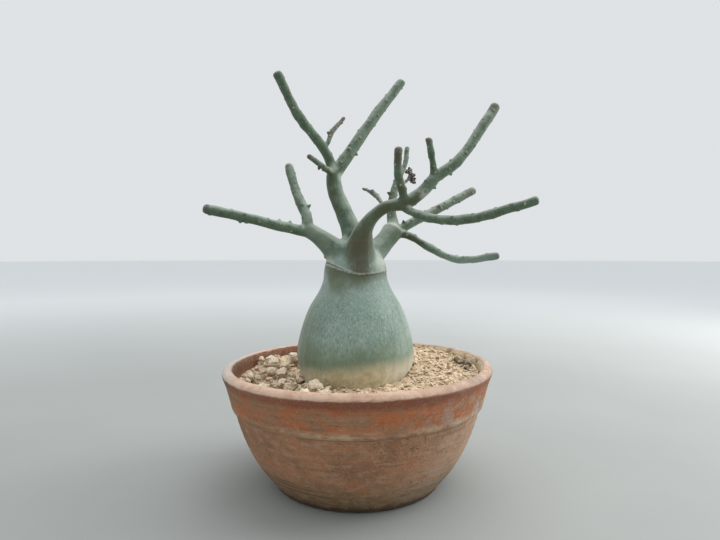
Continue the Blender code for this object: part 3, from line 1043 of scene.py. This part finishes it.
# %% [markdown]
# ### Skin
# Adenium skin is smooth and waxy. A pale bloom lies on it, thickest on the sides that face
# the sky, and those up-facing sides are painted light as well. It is grey-green on the trunk and
# greener on the young shoots, olive-brown where rain collects, and beige where the soil once
# covered it. Painted shade darkens the trunk's left side, its front just under the neck, and a
# ring round each leaf scar.

# %% Skin finish
def tint_spots(finish, colour, tint, places, ragged, strength):
    """Lay one colour over another in soft, ragged spots: x, y, z and reach in mm."""
    for *middle, reach in places:
        colour = finish.mix(colour, tint, finish.spot(middle, reach, ragged) * strength)
    return colour


# Dark olive spots, x, y, z and reach in mm: the four round the front of the neck are painted
# shade under the crown, and the low one on the left is an olive stain.
STAIN_AND_SHADE_SPOTS = [(-15, -24, 163, 15), (0, -27, 166, 11), (-48, -8, 100, 16), (-22, -20, 168, 10),
               (8, -26, 168, 8)]
OLIVE_SPOTS = [(3, -20, 190, 16), (6, -24, 205, 13), (16, -28, 218, 13), (28, -29, 220, 12),
               (38, -28, 226, 10), (-24, 10, 222, 14), (-29, 11, 238, 11), (-25, 9, 249, 9),
               (36, 26, 198, 12), (50, 24, 198, 12), (36, 24, 213, 8),
               (45, -30, 226, 10), (33, -38, 236, 8)]
BROWN_SPOTS = [(1, -24, 181, 15), (3, -24, 193, 11), (4, -26, 174, 10), (30, -50, 256, 9),
               (33, 24, 206, 4.5), (104, 69, 243, 9), (88, 58, 236, 5), (-7.5, 18, 274.5, 3.2),
               (-19, 8, 254, 3), (74, 48, 228, 5), (109, -4, 301, 8)]
DEAD_SPOTS = [(-22, 14, 286, 5), (-19, 18, 292, 7), (-12, 24, 301, 8), (12, -4, 235, 8),
              (5, 7, 240, 8), (-38, -12, 262, 5), (-31, -1, 255, 4), (40, 27, 214, 4),
              (29, 34, 239, 4)]
FAINT_SPOTS = [(-27, -12, 196, 10), (-36, -16, 203, 9), (-3, 0, 216, 9), (-8, 0, 228, 9),
               (-13, 2, 240, 8)]
PALE_SPOTS = [(28, 24, 209, 11), (106, -7, 297, 4.5), (-19, 9, 258, 6), (-14, 15, 250, 6),
              (21, -14, 178, 11), (-21, -12, 179, 8), (52, -34, 231, 7), (24, -21, 226, 7)]


def make_skin():
    bark = Finish("waxy_skin")
    mix, step, noise = bark.mix, bark.step, bark.noise
    x = bark.axis("X")
    y = bark.axis("Y")
    z = bark.axis("Z")
    broad = noise(26, 4, 0.55, seed=3)
    blotch = noise(8, 5, 0.62, seed=8)
    streak = noise(1.5, 5, 0.72, stretch=(1, 1, 0.42), seed=13)
    fine = noise(1.1, 3, 0.6, seed=17)

    trunk = mix((0.165, 0.245, 0.2), (0.255, 0.35, 0.298), step(broad, 0.35, 0.65))
    trunk = mix(trunk, (0.38, 0.47, 0.405), step(streak, 0.52, 0.66) * 0.6)
    trunk = mix(trunk, (0.1, 0.15, 0.108), step(streak, 0.47, 0.32) * 0.58)
    dash = noise(1.0, 2, 0.5, stretch=(1, 1, 0.24), seed=19)
    trunk = mix(trunk, (0.085, 0.13, 0.1), step(dash, 0.57, 0.68) * 0.5)
    trunk = mix(trunk, (0.46, 0.545, 0.48), step(dash, 0.4, 0.3) * 0.5)
    high = step(z + (broad - 0.5) * 16, 138, 158)
    trunk = mix(trunk, (0.27, 0.345, 0.305), high * 0.35)
    low = step(z + (broad - 0.5) * 24, 126, 100)
    trunk = mix(trunk, (0.165, 0.225, 0.125), low * 0.66)
    # Painted shade: the trunk's left side is darkened, with an olive tint of its own.
    left = step(x + (blotch - 0.5) * 14, -22, -47)
    trunk = mix(trunk, (0.125, 0.15, 0.085), left * 0.58)

    young = mix((0.056, 0.098, 0.056), (0.098, 0.155, 0.096), step(blotch, 0.35, 0.65))
    young = mix(young, (0.2, 0.265, 0.2), step(fine, 0.5, 0.66) * 0.35)
    young = mix(young, (0.062, 0.074, 0.036), step(blotch, 0.42, 0.28) * 0.4)
    colour = mix(trunk, young, step(z + (blotch - 0.5) * 14, 176, 194))

    # Painted shade under the crown at the neck's front, and an olive stain low on the left.
    colour = tint_spots(bark, colour, (0.115, 0.135, 0.07), STAIN_AND_SHADE_SPOTS, blotch, 0.72)
    colour = tint_spots(bark, colour, (0.068, 0.076, 0.033), OLIVE_SPOTS, blotch, 0.72)
    # The bloom is laid paler on faces that turn up: partly real bloom and partly painted light on
    # the tops of the crown and shoots.
    bloom_and_top_light = step(bark.upness() + (blotch - 0.5) * 0.9, 0.1, 0.9)
    colour = mix(colour, (0.46, 0.52, 0.46), bloom_and_top_light * step(z, 168, 182) * 0.52)
    colour = tint_spots(bark, colour, (0.08, 0.068, 0.036), BROWN_SPOTS, streak, 0.62)
    colour = tint_spots(bark, colour, (0.085, 0.075, 0.058), DEAD_SPOTS, fine, 0.8)
    colour = tint_spots(bark, colour, (0.5, 0.53, 0.46), PALE_SPOTS, blotch, 0.55)
    colour = tint_spots(bark, colour, (0.36, 0.41, 0.34), FAINT_SPOTS, blotch, 0.3)

    line = step(z + (fine - 0.5) * 1.2, 194.4, 195.1)
    line = line * step(z + (fine - 0.5) * 1.2, 196.6, 195.8)
    line = line * bark.spot((2, -22, 195), 13)
    colour = mix(colour, (0.15, 0.085, 0.052), line * 0.45)

    edge = z + (x * -0.1) + (y * 0.02) + (broad - 0.5) * 12 + (blotch - 0.5) * 5
    buried = step(edge, 104, 92)
    beige = mix((0.49, 0.43, 0.26), (0.68, 0.61, 0.42), step(blotch, 0.36, 0.6))
    beige = mix(beige, (0.58, 0.55, 0.45), step(x, 8, 36) * 0.6)
    colour = mix(colour, beige, buried * 0.92)

    scar = bark.mark("scar_mm") + (fine - 0.5) * 0.9
    shoots = step(z, 178, 192)
    # Painted shade: a dark ring round each raised leaf scar on the shoots; its pale centre
    # follows.
    colour = mix(colour, (0.095, 0.085, 0.045), step(scar, 2.1, 1.1) * shoots * 0.62)
    centre = step(scar, 1.1, 0.6) * step(blotch, 0.4, 0.5) * shoots
    colour = mix(colour, (0.42, 0.42, 0.28), centre * 0.8)

    neck = bark.mark("neck_mm") + (fine - 0.5) * 0.8 + (blotch - 0.5) * 1.4
    shade = step(neck, -9.0, -1.2) * step(neck, 0.6, -0.6)
    colour = mix(colour, (0.08, 0.095, 0.05), shade * 0.72)
    torn = noise(1.7, 4, 0.7, stretch=(0.9, 0.9, 2.0), seed=51)
    ridge = step(neck, -1.3, -0.1) * step(neck, 1.3, 0.1)
    colour = mix(colour, (0.43, 0.45, 0.39), ridge * step(torn, 0.4, 0.55) * 0.78)
    fold = bark.mark("fold_mm") + (fine - 0.5) * 0.8
    parted = step(x, 0, -9)
    gap = step(neck, 0.7, 1.2) * step(fold, -0.5, -1.0) * parted
    colour = mix(colour, (0.085, 0.09, 0.05), gap * 0.75)
    second = step(fold, -0.9, -0.1) * step(fold, 1.0, 0.1) * parted
    colour = mix(colour, (0.47, 0.5, 0.44), second * step(torn, 0.36, 0.5) * 0.8)
    dots = noise(1.9, 2, 0.6, stretch=(1, 1, 0.3), seed=57)
    dots = step(dots, 0.5, 0.58) * step(neck, -2.4, -1.4) * step(neck, 0.2, -0.6)
    colour = mix(colour, (0.07, 0.066, 0.04), dots * step(x, -2, 4) * 0.8)

    tip = bark.mark("tip_mm") + (blotch - 0.5) * 5
    colour = mix(colour, (0.115, 0.095, 0.068), step(tip, 7.5, 4.0) * 0.8)
    relief = streak * 0.5 + fine * 0.5 + blotch * 0.5
    return bark.done(colour, 0.5 + step(blotch, 0, 1) * 0.2, relief, 0.45)


waxy_skin = make_skin()
bloom_shader = waxy_skin.node_tree.nodes["Principled BSDF"]
bloom_shader.inputs["Specular IOR Level"].default_value = 0.35
bloom_shader.inputs["Sheen Weight"].default_value = 0.30
bloom_shader.inputs["Sheen Roughness"].default_value = 0.45
finish_piece(skin, waxy_skin, "bark", *PLANT_NODES)

# %% [markdown]
# ## The withered flower stalk
# A dry stalk ends in a small dark tangle of withered husks. The stalk is a roughened copy of
# its solid. A husk is a narrow ribbon, bent and twisted, and copied round the stalk's end.

# %% Stalk and husks
stalk = copy_of("dried_stalk", "dried_stalk_look")
modify(stalk, "SUBSURF", levels=2, render_levels=2)
roughen(stalk, 2 * MM, 0.7 * MM, 2)
stalk_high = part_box("dried_stalk")[1]
stalk_end = Vector((stalk_high.x - 1.2 * MM, stalk_high.y - MM, stalk_high.z - MM))
husk_chooser = random.Random(8)
HUSKS = 34
HUSK_RINGS = 10


def husk(number, length, width):
    """A tapered ribbon that curls as it goes, at the stalk's end."""
    deselect()
    bpy.ops.mesh.primitive_circle_add(vertices=6, radius=width / 2, fill_type="NGON")
    ribbon = bpy.context.object
    edit(ribbon)
    bpy.ops.transform.resize(value=(1, 0.6, 1), center_override=(0, 0, 0))
    curl = husk_chooser.uniform(0.15, 0.42) * husk_chooser.choice((-1, 1))
    for ring in range(HUSK_RINGS):
        place = (0, 0, length * ring / HUSK_RINGS)
        rise = (0, 0, length / HUSK_RINGS)
        bpy.ops.mesh.extrude_region_move(TRANSFORM_OT_translate={"value": rise})
        bpy.ops.transform.rotate(value=curl, orient_axis="X", center_override=place)
        bpy.ops.transform.resize(value=(0.95, 0.95, 1), center_override=place)
    close_edit()
    ribbon.rotation_euler = (husk_chooser.uniform(-2.4, 2.4), husk_chooser.uniform(-1.2, 1.2),
                             number * 2.4)
    drift = Vector([husk_chooser.gauss(0, 1.2) + 0.07 * number - 1.2, husk_chooser.gauss(0, 1.1),
                    -0.34 * number - 0.5])
    ribbon.location = stalk_end + drift * MM
    pick(ribbon)
    bpy.ops.object.transform_apply(location=True, rotation=True, scale=True)
    return ribbon


ribbons = [husk(number, husk_chooser.uniform(2.2, 4.2) * MM, 4.6 * MM) for number in range(HUSKS)]
husks = join(ribbons, "withered_husks")
modify(husks, "SUBSURF", levels=1, render_levels=1)

# %% Dry stalk finish
def make_dry_stalk():
    dry = Finish("withered_stalk")
    mottle = dry.noise(2.2, 4, 0.7, seed=4)
    colour = dry.mix((0.045, 0.042, 0.034), (0.19, 0.17, 0.15), dry.step(mottle, 0.4, 0.6))
    colour = dry.mix(colour, (0.55, 0.53, 0.48), dry.step(mottle, 0.54, 0.62))
    return dry.done(colour, 0.85, mottle, 0.6)


dry_stalk = make_dry_stalk()
finish_piece(stalk, dry_stalk, "dry_stem", "dried_stalk")
finish_piece(husks, dry_stalk, "dry_stem")

# %% [markdown]
# ## Sizes
# The box of the measured solids and the box of everything that is seen are taken, and how much
# the second has grown is printed.

# %% Print how much the box grew
looks_low, looks_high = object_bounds()
grown = (looks_high - looks_low) - (solids_high - solids_low)
print("grown by, mm:", [round(v / MM, 2) for v in grown])
